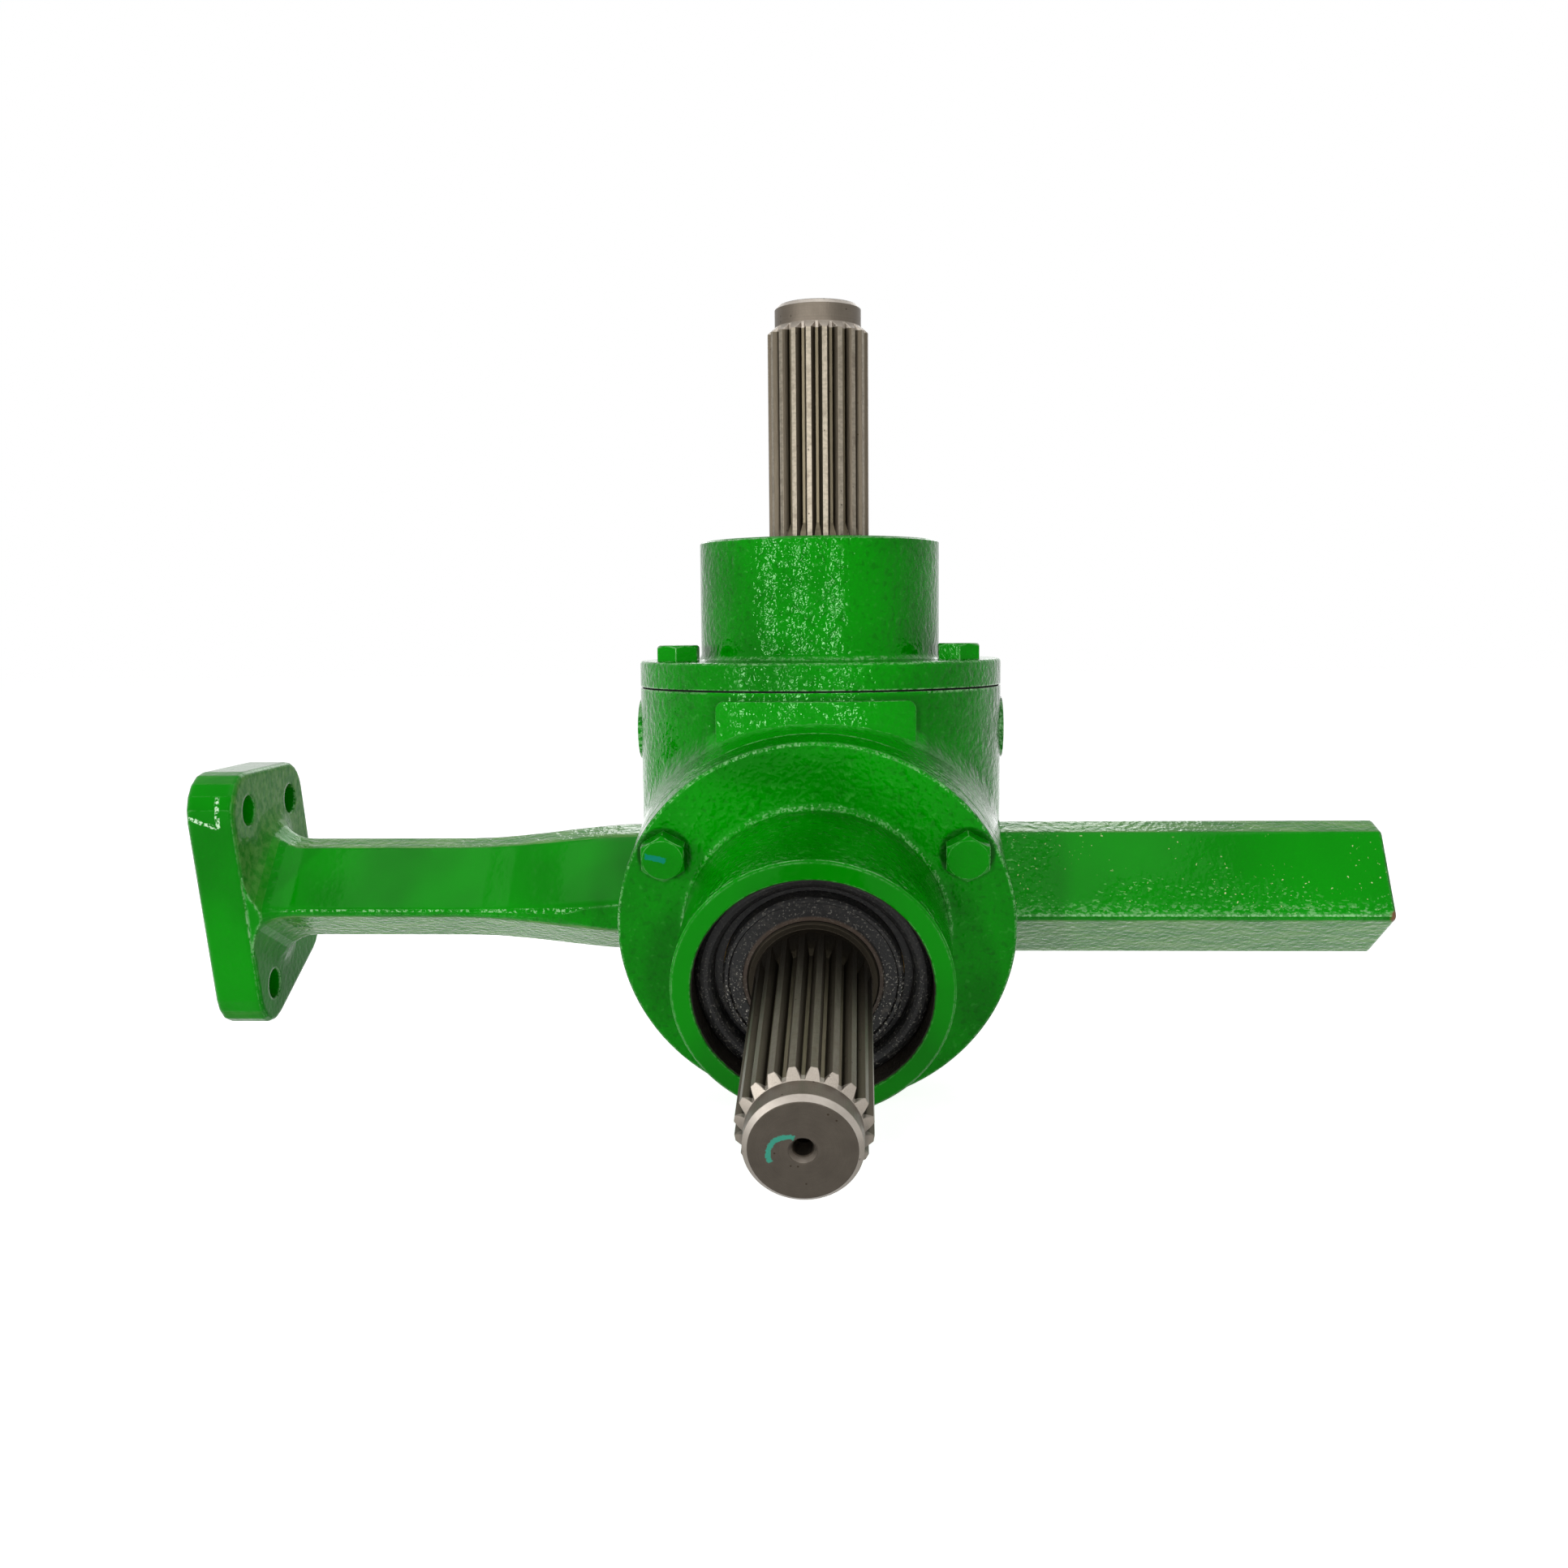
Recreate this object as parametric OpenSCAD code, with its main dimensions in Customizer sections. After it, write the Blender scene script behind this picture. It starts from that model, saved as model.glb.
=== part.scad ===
// Bevel gearbox with two splined shafts, a fixing plate on one arm and a square-shouldered bar on the other.
// Origin: on the outer face of the fixing plate, level with the point where the two shaft axes cross.
// +Z is the direction of the top shaft, -Y is the front, and the arms lie along X. The modules draw about the
// crossing of the axes, and placed() moves them into the frame. Each side of the box is drawn with its own
// shaft axis upright, then turned into place, so the front and top sides share every size.

/* [Shafts] */
// Angle between the two shafts, in degrees
shaft_angle = 104; // [100:1:110]
// Outer diameter of the splines
spline_od = 44.45; // [43:0.05:46]
// Number of spline teeth
spline_teeth = 20; // [16:1:22]
// Depth of the spline grooves
spline_depth = 3.05; // [2.6:0.05:3.3]
// Length of the splines, from the journal to the tooth ends
spline_l = 102.2; // [80:0.2:120]
// Length of the run-outs, where the grooves come up to the surface
runout_l = 16.5; // [8:0.5:20]
// Length of the plain tip beyond the splines
tip_l = 9.4; // [6:0.2:16]
// Diameter of the plain tip
tip_d = 38; // [36:0.1:38.3]
// Chamfer on the tip
tip_chamfer = 1.9; // [1:0.1:2.4]
// Diameter of the drilled centre in the tip
centre_d = 6.4; // [4:0.2:7]
// Diameter of the countersink of the centre
centre_sink_d = 9.2; // [8:0.1:11]
// Depth of the drilled centre
centre_depth = 12; // [8:1:16]
// Diameter of the shaft where the gear sits
gear_seat_d = 42; // [40:1:44]
// Diameter of the threaded end that carries the gear nut
nut_thread_d = 35; // [32:1:38]
// Height of the shoulders between the bearings, above the journals
shaft_land_t = 4; // [3:0.5:5]

/* [Gears] */
// Number of teeth of each bevel gear
gear_teeth = 20; // [18:1:22]
// Module of the teeth at their large end
gear_module = 5; // [4.6:0.1:5.2]
// Width of the teeth along the cone
gear_face = 20; // [16:1:22]
// Gap between mating flanks at the large end
backlash = 0.9; // [0.7:0.1:1.2]
// Distance from the crossing of the axes to the front of the gear hub
gear_hub_z = 32; // [31:0.5:34]
// Outer diameter of the boss behind the gear
gear_boss_d = 60; // [58:1:62]
// Width of the key that drives the gear
key_w = 12; // [10:1:14]
// Height of the key
key_h = 8; // [7:0.5:9]
// Thickness of the slotted gear nut
nut_t = 8; // [7:0.5:8.5]
// Outer diameter of the slotted gear nut
nut_d = 48; // [44:1:50]

/* [Bearings and seals] */
// Bore of the ball bearings and diameter of the journals
bearing_id = 50; // [46:0.5:52]
// Outer diameter of the ball bearings
bearing_od = 90; // [88:1:91]
// Width of the ball bearings
bearing_w = 20; // [19:0.5:21]
// Distance from the crossing of the axes to the inner bearing
bearing_z = 57.8; // [55:0.2:60]
// Distance between the two bearings of a shaft
bearing_gap = 18.6; // [14:0.2:24]
// Diameter of the bearing balls
ball_d = 12.7; // [12:0.1:13]
// Number of balls in a bearing
ball_count = 10; // [8:1:11]
// Running gap round the balls
ball_play = 0.12; // [0.1:0.01:0.2]
// Radial wall of the ball cages
cage_t = 3; // [2.5:0.1:3.5]
// Inset of the ball cages from the sides of the bearings
cage_inset = 1.2; // [0.8:0.1:1.6]
// Height of the collar between the bearings in the cover, above the bore
collar_t = 4; // [3:0.5:5]
// Thickness of the ring that holds the bearing on the shaft
shaft_clip_t = 2; // [1.5:0.1:2.5]
// Thickness of the ring that holds the bearing in the cover
bore_clip_t = 3; // [2.5:0.1:3.2]
// Depth of the grooves that hold those two rings
clip_groove = 1.6; // [1.2:0.1:2]
// Width of the oil seals
seal_w = 10; // [8:0.5:11]
// Gap between the oil seals and the rings that hold the bearings in the covers
seal_gap = 0.4; // [0.2:0.1:2]
// Depth of the seals below the end of the hub
seal_recess = 9; // [2:0.5:12]
// Width of the rounded lip on the fixed ring of the seal
seal_lip = 7.4; // [5:0.1:8]
// Width of the channel between that lip and the turning ring
seal_channel = 3.4; // [2.6:0.1:5]

/* [Covers] */
// Distance from the crossing of the axes to the machined faces of the housing
face_z = 75; // [74:0.5:78]
// Thickness of the gaskets
gasket_t = 0.8; // [0.5:0.1:1.5]
// Inset of the gasket edge from the rim of the cover
gasket_inset = 0.9; // [0.5:0.1:1.5]
// Thickness of the cover flanges
flange_t = 11.2; // [10:0.2:13]
// Rounding of the flange rim
flange_round = 1.6; // [0.6:0.2:4]
// Wall of the hubs round the bearings
hub_wall = 8.2; // [7:0.1:10]
// Fillet where the hub meets the flange
hub_fillet = 3; // [1:0.5:4]
// Chamfer on the edges of the hub end
hub_chamfer = 0.8; // [0.4:0.1:1.2]
// Wall round the bearings of the spigots that centre the covers in the housing
spigot_wall = 13; // [12:0.5:14]
// Distance of the cover bolts outside the spigots
bolt_land = 11; // [10:0.5:12]
// Distance of the cover bolts inside the rims of the flanges and of the housing barrels
bolt_edge = 11.5; // [10:0.5:14]

/* [Bolts and plugs] */
// Number of bolts in each cover
bolt_count = 3; // [2:1:6]
// Thread diameter of the cover bolts
bolt_d = 10; // [8:1:10]
// Width of the bolt heads across the flats
bolt_af = 17; // [15:0.5:18]
// Height of the bolt heads
bolt_head_h = 7; // [6:0.2:8]
// Length of the bolts below the head
bolt_l = 25; // [22:1:27]
// Thread diameter of the two oil plugs
plug_d = 16; // [14:1:18]
// Length of the oil plugs
plug_l = 10; // [9:0.5:11]
// Width of the hexagon socket in the oil plugs
plug_socket = 8; // [6:1:9]
// Distance of the oil plugs below the machined face of the housing
plug_drop = 19; // [17:0.5:21]
// Diameter of the bosses round the oil plugs
plug_boss_d = 27; // [24:1:30]
// How far the oil plugs stand out from the barrels
plug_proud = 0.6; // [0.4:0.1:2]

/* [Housing] */
// Thickness of the housing wall
wall = 12; // [10:0.5:14]
// Smallest radius of the fillet between the two barrels
valley_r = 12; // [8:1:13]
// Extra fillet radius at the sides of the barrels
valley_side_r = 13; // [6:1:16]
// Width of the raised pad above the front cover
pad_w = 81; // [70:1:90]
// Distance of the pad top below the machined face of the housing
pad_drop = 3.4; // [2:0.2:5]
// Height of the raised pad
pad_h = 27.6; // [24:0.2:30]
// How far the pad stands out from the barrel
pad_proud = 3.6; // [2:0.2:4.4]
// Rounding of the pad corners
pad_round = 3.5; // [2:0.5:6]

/* [Arms] */
// Distance from the crossing of the axes to the end of the bar
bar_end = 256; // [200:1:300]
// Height of the bar at its back
bar_h = 62; // [56:1:68]
// Height of the arm at its back
arm_h = 47; // [40:1:52]
// Depth of the bar and of the arm from back to nose
arm_depth = 40; // [34:1:44]
// Distance of the flat backs behind the shaft axes
arm_back = 31; // [24:1:34]
// Height of the middle of the arms, above the crossing of the axes
arm_z = -21.5; // [-26:0.5:-16]
// Edge rounding of the bar and of the arm
arm_round = 3; // [2:0.5:4]
// Length over which the arm widens towards the barrels
arm_flare_l = 88; // [50:1:100]
// Growth of the arm at the barrels
arm_flare = 7; // [3:0.5:9]
// Fillet of the arms into the plate
plate_fillet = 17; // [10:1:20]
// Fillet of the bar into the barrels
bar_fillet = 7; // [4:1:10]

/* [Fixing plate] */
// Distance from the crossing of the axes to the outer face of the plate
plate_face = 285; // [240:1:320]
// Thickness of the plate
plate_t = 22; // [16:1:26]
// Rounding of the plate outline, centred on its corner holes
plate_r = 18; // [15:0.5:20]
// Rounding of the plate edges
plate_edge = 2.4; // [1:0.2:4]
// Diameter of the three holes in the plate
plate_hole_d = 14.5; // [12:0.5:16]
// Distance between the two upper holes
hole_pitch = 50.4; // [46:0.2:56]
// Height of the upper holes above the crossing of the axes
hole_top_z = 19.6; // [16:0.2:24]
// Distance of the front upper hole behind the shaft axes
hole_front_y = -5.4; // [-8:0.2:-2]
// Distance of the lower hole below the upper ones
hole_drop = 86; // [80:0.5:92]
// Distance of the lower hole behind the front upper hole
hole_low_shift = 21.4; // [16:0.2:26]
// Distance of the middle of the plate's back corner behind the shaft axes
plate_back_y = 62; // [54:1:68]

/* [Hidden] */
$fn = 96;

// Small lap that keeps cut faces from lying on each other
eps = 0.5;
// Clearance of a located fit and of the bolts in their threads
fit = 0.03;
// Clearance of a bolt in a through hole
bolt_play = 0.5;
// Gap between pieces that turn past each other
run_gap = 0.3;
// How much larger the ball between the barrels is than they are, so that it crosses them
ball_proud = 0.1;
// Steps of the rounded corners and fillets. Odd numbers keep facet edges off the plane between the barrels.
arc_n = 5;
fillet_n = 7;

// Turns in degrees
quarter_turn = 90;
half_turn = 180;
// Width of a hexagon across its flats over its width across the corners
hex_corner = cos(30);
// Width of the seat at the inner end of the oil plugs
plug_seat = 1.5;
// Height of the floor of the seal's fixed ring
seal_floor = 3;
// Width of the gap in the open spring rings
clip_gap = 8;
// Pressure angles of the gears and of the splines
gear_angle = 20;
spline_angle = 30;

// Places along a shaft axis, from the crossing of the axes
flange_z0 = face_z + gasket_t;
flange_z1 = flange_z0 + flange_t;
brg1_z = bearing_z;
brg2_z = brg1_z + bearing_w + bearing_gap;
clip_z = brg2_z + bearing_w;
seal_z0 = clip_z + bore_clip_t + seal_gap;
seal_z1 = seal_z0 + seal_w;
hub_z1 = seal_z1 + seal_recess;
spline_z1 = seal_z1 + spline_l;
shaft_z1 = spline_z1 + tip_l;
nut_z0 = gear_hub_z - nut_t;
shaft_z0 = nut_z0 - 1.5;

// Pitch cone of the gears
cone = shaft_angle / 2;
pitch_r = gear_module * gear_teeth / 2;
pitch_z = pitch_r / tan(cone);
cone_l = pitch_r / sin(cone);
toe_scale = (cone_l - gear_face) / cone_l;
addendum = gear_module;
dedendum = 1.2 * gear_module;

// The covers from the inside out: bearing, wall, spigot, bolts and rim, which is also the rim of the barrels
hub_d = bearing_od + 2 * hub_wall;
spigot_d = bearing_od + 2 * spigot_wall;
bolt_circle_d = spigot_d + 2 * bolt_land;
body_r = bolt_circle_d / 2 + bolt_edge;
cavity_r = body_r - wall;
seal_sleeve_r = bearing_od / 2 - seal_lip - seal_channel;
plug_z = face_z - plug_drop;
ball_circle_r = (bearing_id + bearing_od) / 4;
// Wall of the bearing rings: a third of the room between bore and rim, less what the balls need
ring_t = (bearing_od - bearing_id) / 6.2;
plate_x = -plate_face + plate_t;

// Moves what is drawn round the +Z axis to one side of the box. The -Y sides of the covers face each other.
module side(which) {
    if (which == "front") rotate([shaft_angle, 0, 0]) rotate([0, 0, half_turn]) children();
    else children();
}

// Moves what is drawn about the crossing of the axes into the frame of the part
module placed() {
    translate([plate_face, 0, 0]) children();
}

// Ring round the Z axis
module ring(r_out, r_in, z0, z1) {
    difference() {
        translate([0, 0, z0]) cylinder(r = r_out, h = z1 - z0);
        translate([0, 0, z0 - eps]) cylinder(r = r_in, h = z1 - z0 + 2 * eps);
    }
}

// Places its children at each bolt of a cover
module at_bolts() {
    for (i = [0 : bolt_count - 1])
        rotate([0, 0, quarter_turn + 360 / bolt_count * i]) translate([bolt_circle_d / 2, 0, 0]) children();
}

// Closed outline of equal circles of radius r round the corners c, which run anticlockwise
function heading(a, b) = atan2(b[1] - a[1], b[0] - a[0]);
function outline(c, r) = [for (i = [0 : len(c) - 1])
    let (before = c[(i + len(c) - 1) % len(c)],
         after = c[(i + 1) % len(c)],
         a0 = heading(before, c[i]) - quarter_turn,
         turn = (heading(c[i], after) - quarter_turn - a0 + 720) % 360)
    for (k = [0 : arc_n]) c[i] + r * [cos(a0 + turn * k / arc_n), sin(a0 + turn * k / arc_n)]];

// Outline in the YZ plane, set at x
function at_x(points, x) = [for (p = points) [x, p[0], p[1]]];

// Solid through a list of closed rings of points, all with the same number of points
module loft(rings) {
    n = len(rings[0]);
    k = len(rings);
    polyhedron(points = [for (r = rings) each r],
        faces = concat([[for (i = [0 : n - 1]) i]],
            [[for (i = [n - 1 : -1 : 0]) (k - 1) * n + i]],
            [for (j = [0 : k - 2]) for (i = [0 : n - 1]) [j * n + i, (j + 1) * n + i, j * n + (i + 1) % n]],
            [for (j = [0 : k - 2]) for (i = [0 : n - 1])
                [j * n + (i + 1) % n, (j + 1) * n + i, (j + 1) * n + (i + 1) % n]]));
}

// Circular fillet: growth of an outline at the distance d from a wall
function fillet(r, d) = d >= r ? 0 : r - sqrt(max(0, r * r - (r - max(d, 0)) * (r - max(d, 0))));
// Smooth step from 0 to 1
function ease(t) = let (u = min(1, max(0, t))) u * u * (3 - 2 * u);

// Corner centres of an arm section in the YZ plane: nose low in front, flat upright back
function arm_corners(h) = let (r = arm_round, top = arm_z + h / 2, low = arm_z - h / 2, back = arm_back)
    [[back - arm_depth + 1.4 * r, arm_z - 0.12 * h],
     [back - r, low + r],
     [back - r, top - r],
     [back - 0.36 * arm_depth, top - 0.05 * h - r]];

// Housing: the two barrels meet in a ball, with the arm and its plate on one side and the bar on the other
module barrel() {
    cylinder(r = body_r, h = face_z);
}

// Fillet between the barrels, drawn in sections across X. It starts a little inside the barrels, thins out
// at the sides, and its two ends sink into the ball.
module valley_fillet() {
    n_x = 24;
    reach = body_r - 0.4;
    side_sink = 0.4;
    end_sink = 3;
    function section(x, sink) = let (cut = sqrt(body_r * body_r - x * x),
            s = cut - sink,
            r = (valley_r + valley_side_r * pow(abs(x) / body_r, 2)) * pow(cut / body_r, 0.7),
            t = r / tan(shaft_angle / 2),
            m = s / sin(shaft_angle / 2),
            corner = [-s, m * cos(shaft_angle / 2)],
            up = [0, 1],
            centre = corner + t * up + r * [-1, 0])
        concat([[x, 0, 0]],
            [for (k = [0 : fillet_n]) let (a = (180 - shaft_angle) * k / fillet_n)
                [x, centre[0] + r * cos(a), centre[1] - r * sin(a)]]);
    loft(concat([section(-reach, end_sink)],
        [for (i = [1 : n_x - 1]) section(-reach * cos(180 * i / n_x), side_sink)],
        [section(reach, end_sink)]));
}

module front_pad() {
    intersection() {
        cylinder(r = body_r + pad_proud, h = face_z);
        translate([0, 0, face_z - pad_drop - pad_h]) rotate([90, 0, 0])
            linear_extrude(body_r + 2 * pad_proud)
                polygon(outline([for (c = [[-1, 0], [1, 0], [1, 1], [-1, 1]])
                    [c[0] * (pad_w / 2 - pad_round), c[1] * (pad_h - pad_round)]], pad_round));
    }
}

module plate_outline_solid(x0, x1) {
    loft([at_x(plate_outline(0), x0), at_x(plate_outline(0), x1)]);
}

// Corners of the plate: the three holes, and the back corner where the arm's fillet runs out
function hole_places() = [[hole_front_y, hole_top_z], [hole_front_y + hole_low_shift, hole_top_z - hole_drop],
    [hole_front_y + hole_pitch, hole_top_z]];
function plate_corners() = let (h = hole_places())
    [h[0], h[1], [plate_back_y, arm_z - arm_h / 2], h[2]];
function plate_outline(inset) = outline(plate_corners(), plate_r - inset);

module plate() {
    e = plate_edge;
    steps = [for (k = [0 : 3]) 90 * k / 3];
    loft(concat(
        [for (a = steps) at_x(plate_outline(e * (1 - sin(a))), -plate_face + e * (1 - cos(a)))],
        [for (a = steps) at_x(plate_outline(e * (1 - cos(a))), plate_x - e * (1 - sin(a)))]));
}

module arm() {
    fillet_x = [for (k = [0 : fillet_n]) plate_x + plate_fillet * (1 - cos(90 * k / fillet_n))];
    flare_x = [for (k = [0 : fillet_n]) -body_r - arm_flare_l * (1 - k / fillet_n)];
    function grow(x) = fillet(plate_fillet, x - plate_x)
        + arm_flare * ease((x + body_r + arm_flare_l) / arm_flare_l);
    intersection() {
        loft([for (x = concat([plate_x - eps], fillet_x, flare_x, [-body_r + wall]))
            at_x(outline(arm_corners(arm_h), arm_round + grow(x)), x)]);
        plate_outline_solid(plate_x - 2 * eps, 0);
    }
}

module bar() {
    overlap = 4;
    fillet_x = [for (k = [0 : fillet_n]) body_r - overlap + bar_fillet * (1 - cos(90 * k / fillet_n))];
    soft = arm_round / 2;
    loft(concat(
        [for (x = concat([body_r - wall - overlap], fillet_x))
            at_x(outline(arm_corners(bar_h), arm_round + fillet(bar_fillet, x - body_r + overlap)), x)],
        [at_x(outline(arm_corners(bar_h), arm_round), bar_end - soft),
         at_x(outline(arm_corners(bar_h), arm_round - soft * 0.4), bar_end - soft * 0.3),
         at_x(outline(arm_corners(bar_h), arm_round - soft), bar_end)]));
}

module plug_bosses() {
    for (s = [-1, 1])
        intersection() {
            translate([0, 0, plug_z]) rotate([0, quarter_turn * s, 0])
                cylinder(d = plug_boss_d, h = body_r + plug_proud);
            cylinder(r = body_r + pad_proud, h = face_z);
        }
}

module housing() {
    color("green") difference() {
        union() {
            sphere(r = body_r + ball_proud, $fn = 128);
            side("top") barrel();
            side("front") barrel();
            valley_fillet();
            front_pad();
            plug_bosses();
            plate();
            arm();
            bar();
        }
        sphere(r = cavity_r);
        for (s = ["front", "top"]) side(s) {
            cylinder(d = spigot_d + 2 * fit, h = face_z + eps);
            at_bolts() translate([0, 0, flange_z1 - bolt_l - 2]) cylinder(d = bolt_d + 2 * fit, h = bolt_l);
            translate([0, 0, face_z]) cylinder(r = body_r + 2 * pad_proud, h = body_r);
        }
        for (s = [-1, 1])
            translate([0, 0, plug_z]) rotate([0, quarter_turn * s, 0]) {
                cylinder(d = plug_d - 2 * plug_seat, h = body_r);
                translate([0, 0, body_r + plug_proud - plug_l])
                    cylinder(d = plug_d + 2 * fit, h = plug_l + eps);
            }
        for (h = hole_places())
            translate([-plate_face - eps, h[0], h[1]]) rotate([0, 90, 0])
                cylinder(d = plate_hole_d, h = plate_t + plate_fillet + eps);
    }
}

// Plug in one side boss: s is 1 on the right and -1 on the left
module oil_plug(s) {
    color("green") translate([0, 0, plug_z]) rotate([0, quarter_turn * s, 0]) difference() {
        translate([0, 0, body_r + plug_proud - plug_l]) cylinder(d = plug_d, h = plug_l);
        translate([0, 0, body_r + plug_proud - plug_l / 2])
            cylinder(d = plug_socket / hex_corner, h = plug_l, $fn = 6);
    }
}

module cover() {
    r = hub_d / 2;
    f = hub_fillet;
    c = hub_chamfer;
    g = flange_round;
    bore_r = bearing_od / 2 + fit;
    collar_r = bearing_od / 2 - collar_t;
    color("green") difference() {
        rotate_extrude() polygon(concat(
            [[bore_r, brg1_z], [spigot_d / 2, brg1_z], [spigot_d / 2, flange_z0], [body_r, flange_z0]],
            [for (k = [0 : arc_n]) let (a = 90 * k / arc_n)
                [body_r - g + g * cos(a), flange_z1 - g + g * sin(a)]],
            [for (k = [0 : arc_n]) let (a = 90 * k / arc_n)
                [r + f - f * sin(a), flange_z1 + f - f * cos(a)]],
            [[r, hub_z1 - c], [r - c, hub_z1], [bore_r + c, hub_z1], [bore_r, hub_z1 - c],
             [bore_r, clip_z + bore_clip_t], [bore_r + clip_groove, clip_z + bore_clip_t],
             [bore_r + clip_groove, clip_z], [bore_r, clip_z], [bore_r, brg2_z],
             [collar_r, brg2_z], [collar_r, brg1_z + bearing_w],
             [bore_r, brg1_z + bearing_w]]));
        at_bolts() translate([0, 0, flange_z0 - eps])
            cylinder(d = bolt_d + 2 * bolt_play, h = flange_t + 2 * eps);
    }
}

module gasket() {
    color("black") difference() {
        ring(body_r - gasket_inset, spigot_d / 2 + 2 * fit, face_z, flange_z0);
        at_bolts() translate([0, 0, face_z - eps])
            cylinder(d = bolt_d + 2 * bolt_play, h = gasket_t + 2 * eps);
    }
}

module bolt() {
    across = bolt_af / hex_corner;
    top_chamfer = 1.2;
    intersection() {
        cylinder(d = across, h = bolt_head_h, $fn = 6);
        union() {
            cylinder(d = across + eps, h = bolt_head_h - top_chamfer);
            translate([0, 0, bolt_head_h - top_chamfer])
                cylinder(d1 = across, d2 = bolt_af * 0.94, h = top_chamfer);
        }
    }
    translate([0, 0, -bolt_l]) cylinder(d = bolt_d, h = bolt_l + eps);
}

module cover_bolts() {
    color("green") at_bolts() translate([0, 0, flange_z1]) bolt();
}

// Involute of an angle in degrees, in radians
function inv(a) = tan(a) - a * PI / 180;
// Pressure angle at the radius r of a gear with the base radius rb
function pressure(r, rb) = r <= rb ? 0 : acos(rb / r);
// Half angle of a tooth at the radius r: rp pitch radius, pa pressure angle, half the tooth thickness t
function half_tooth(r, rp, pa, t) = (t / rp + inv(pa) - inv(pressure(r, rp * cos(pa)))) * 180 / PI;

module spline_profile() {
    rp = (spline_od / 2 - spline_depth / 3);
    r0 = spline_od / 2 - spline_depth;
    steps = 4;
    quarter_pitch = PI * rp / spline_teeth / 2;
    polygon([for (i = [0 : spline_teeth - 1]) let (mid = 360 / spline_teeth * (i + 0.5) + quarter_turn)
        for (s = [-1, 1]) for (k = [0 : steps - 1])
            let (j = s < 0 ? k : steps - 1 - k,
                 r = r0 + spline_depth * j / (steps - 1),
                 a = mid + s * half_tooth(r, rp, spline_angle, quarter_pitch))
            [r * cos(a), r * sin(a)]]);
}

module shaft() {
    r = spline_od / 2;
    r0 = r - spline_depth;
    j = bearing_id / 2;
    c = tip_chamfer;
    // The journal ends just beyond the outer side of the seal
    journal_z1 = seal_z1 + 0.6;
    // Depth of a countersink of 60 degrees
    sink_h = (centre_sink_d - centre_d) / 2 / tan(30);
    color("dimgray") difference() {
        union() {
            intersection() {
                translate([0, 0, seal_z0]) linear_extrude(spline_z1 - seal_z0) spline_profile();
                rotate_extrude() polygon([[0, seal_z0], [r, seal_z0], [r, spline_z1 - spline_depth],
                    [tip_d / 2 - 0.2, spline_z1], [0, spline_z1]]);
            }
            rotate_extrude() polygon([[0, shaft_z0], [nut_thread_d / 2 - 1, shaft_z0],
                [nut_thread_d / 2, shaft_z0 + 1], [nut_thread_d / 2, gear_hub_z + fit],
                [gear_seat_d / 2, gear_hub_z + fit], [gear_seat_d / 2, brg1_z + eps], [j, brg1_z + eps],
                [j, brg1_z + bearing_w], [j + shaft_land_t, brg1_z + bearing_w], [j + shaft_land_t, brg2_z],
                [j, brg2_z], [j, clip_z - fit], [j - clip_groove, clip_z - fit],
                [j - clip_groove, clip_z + shaft_clip_t], [j, clip_z + shaft_clip_t], [j, journal_z1 - 0.8],
                [j - 0.8, journal_z1], [r, journal_z1], [r, seal_z1 + 0.2 * runout_l],
                [r - 0.25 * spline_depth, seal_z1 + 0.45 * runout_l],
                [r - 0.6 * spline_depth, seal_z1 + 0.78 * runout_l], [r0, seal_z1 + runout_l],
                [r0, spline_z1 - c], [tip_d / 2, spline_z1 - c + r0 - tip_d / 2], [tip_d / 2, shaft_z1 - c],
                [tip_d / 2 - c, shaft_z1], [0, shaft_z1]]);
        }
        translate([0, 0, shaft_z1 - centre_depth]) cylinder(d = centre_d, h = centre_depth + eps);
        translate([0, 0, shaft_z1 - sink_h]) cylinder(d1 = centre_d, d2 = centre_sink_d, h = sink_h + fit);
        key_slot(fit);
    }
}

// Room for the key across the joint of shaft and gear, grown by play
module key_slot(play) {
    length = brg1_z - gear_hub_z;
    translate([-key_w / 2 - play, gear_seat_d / 2 - key_h / 2 - play, gear_hub_z + 2 - play])
        cube([key_w + 2 * play, key_h + 2 * play, length - 4 + 2 * play]);
}

module gear_key() {
    color("gray") key_slot(0);
}

// One straight bevel tooth: its outline at the large end, and the same outline drawn in towards the apex
module bevel_tooth() {
    rv = pitch_r / cos(cone);
    t = (PI * gear_module - backlash) / 4;
    steps = 5;
    heights = [for (k = [0 : steps]) -dedendum - 0.3 + (addendum + dedendum + 0.3) * k / steps];
    function place(h, s) = let (a = half_tooth(rv + h, rv, gear_angle, t))
        [s * (rv + h) * sin(a), pitch_r + ((rv + h) * cos(a) - rv) * cos(cone),
         pitch_z - ((rv + h) * cos(a) - rv) * sin(cone)];
    big = concat([for (k = [0 : steps]) place(heights[k], 1)],
        [for (k = [steps : -1 : 0]) place(heights[k], -1)]);
    loft([[for (p = big) p * toe_scale], big]);
}

// Gear blank and teeth. A tooth space faces the other gear when gap is true, else a tooth.
module bevel_gear(gap) {
    seat_r = gear_seat_d / 2 + fit;
    root_r = pitch_r - dedendum * cos(cone);
    root_z = pitch_z + dedendum * sin(cone);
    rim_r = root_r - 5;
    rim_z = root_z + 5 * tan(cone);
    color("gray") difference() {
        union() {
            rotate_extrude() polygon([[seat_r, gear_hub_z], [root_r * toe_scale - 2, gear_hub_z],
                [root_r * toe_scale, root_z * toe_scale], [root_r, root_z], [rim_r, rim_z],
                [gear_boss_d / 2, rim_z], [gear_boss_d / 2, brg1_z], [seat_r, brg1_z]]);
            for (i = [0 : gear_teeth - 1])
                rotate([0, 0, 180 + 360 / gear_teeth * (i + (gap ? 0.5 : 0))]) bevel_tooth();
        }
        key_slot(fit);
    }
}

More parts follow.
